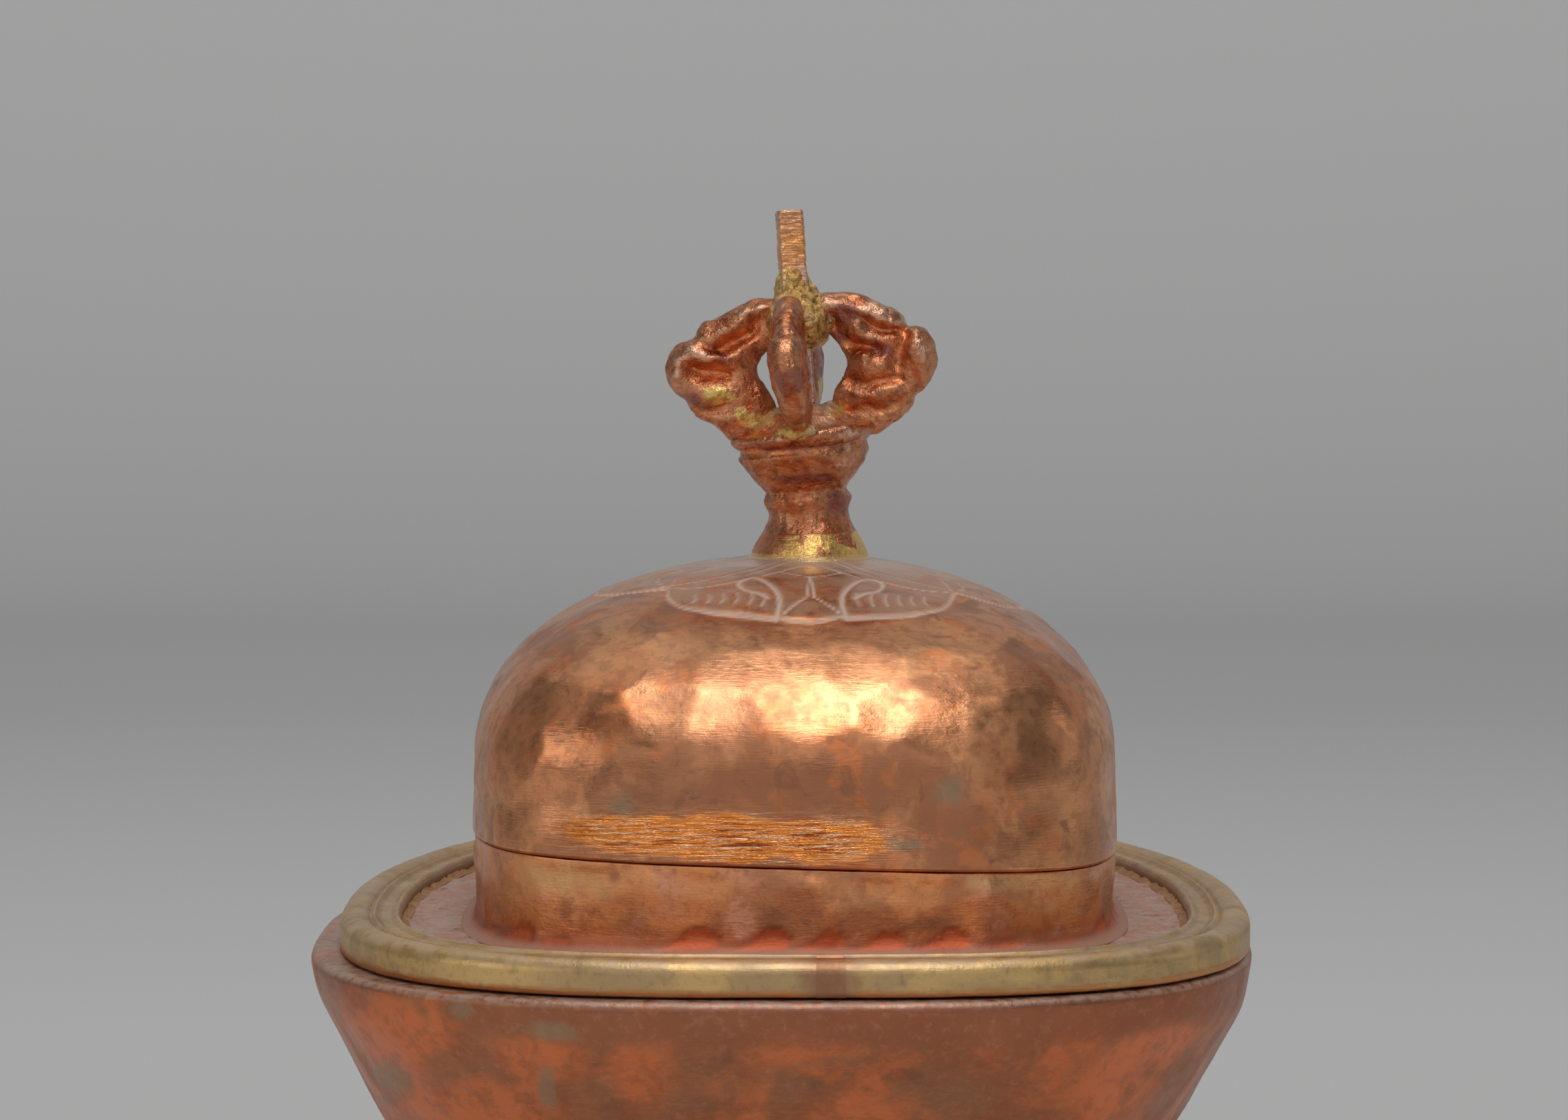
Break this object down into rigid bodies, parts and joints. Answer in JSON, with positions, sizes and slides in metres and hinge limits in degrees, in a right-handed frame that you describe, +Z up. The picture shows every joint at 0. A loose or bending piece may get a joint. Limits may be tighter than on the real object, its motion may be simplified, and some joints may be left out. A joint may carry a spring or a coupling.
{
  "type": "lidded skull cup",
  "caption": "Skull-shaped copper bowl with a lift-off domed lid, a brass rim moulding and a cast half-vajra knob.",
  "frame": {"origin": "under the middle of the foot ring, on the surface that the cup stands on, at the middle of the bounding box", "axes": "+Z up the lift of the lid, -Y towards the broad front end, +X to the right of someone who faces that end"},
  "size_m": [0.1314, 0.17, 0.1745],
  "materials": {
    "bowl_copper": "raised copper with red and brown oxide, rubbed pale on the lip",
    "dome_copper": "hammered copper with a golden brown patina, engraved crown",
    "band_copper": "hammered copper, redder towards the foot",
    "plate_copper": "dull dusty copper sheet",
    "cast_copper": "rough cast copper with dark red oxide, rubbed bright on the high places",
    "filed_copper": "copper bar with cross file marks",
    "rim_brass": "worn olive brass",
    "braze_brass": "granular yellow brazing metal",
    "solder": "rough brown solder"
  },
  "bodies": {
    "bowl": {"bowl_shell": "bowl_copper", "foot_ring": "bowl_copper"},
    "lid": {"dome_shell": "dome_copper", "dome_band": "band_copper", "flange_plate": "plate_copper", "lid_collar": "plate_copper", "rim_moulding": "rim_brass", "rim_joint_braze": "solder", "plate_solder": "solder", "finial_base": "cast_copper", "spire_bar": "filed_copper", "prong_right": "cast_copper", "prong_back": "cast_copper", "prong_left": "cast_copper", "prong_front": "cast_copper", "crown_braze": "braze_brass", "foot_braze": "braze_brass", "front_prong_braze": "braze_brass", "back_prong_braze": "braze_brass", "tang_rove": "rim_brass"}
  },
  "joints": [
    {"name": "lid_lift", "type": "slide", "parent": "bowl", "child": "lid", "axis": [0, 0, 1], "range_m": [0, 0.09]}
  ]
}
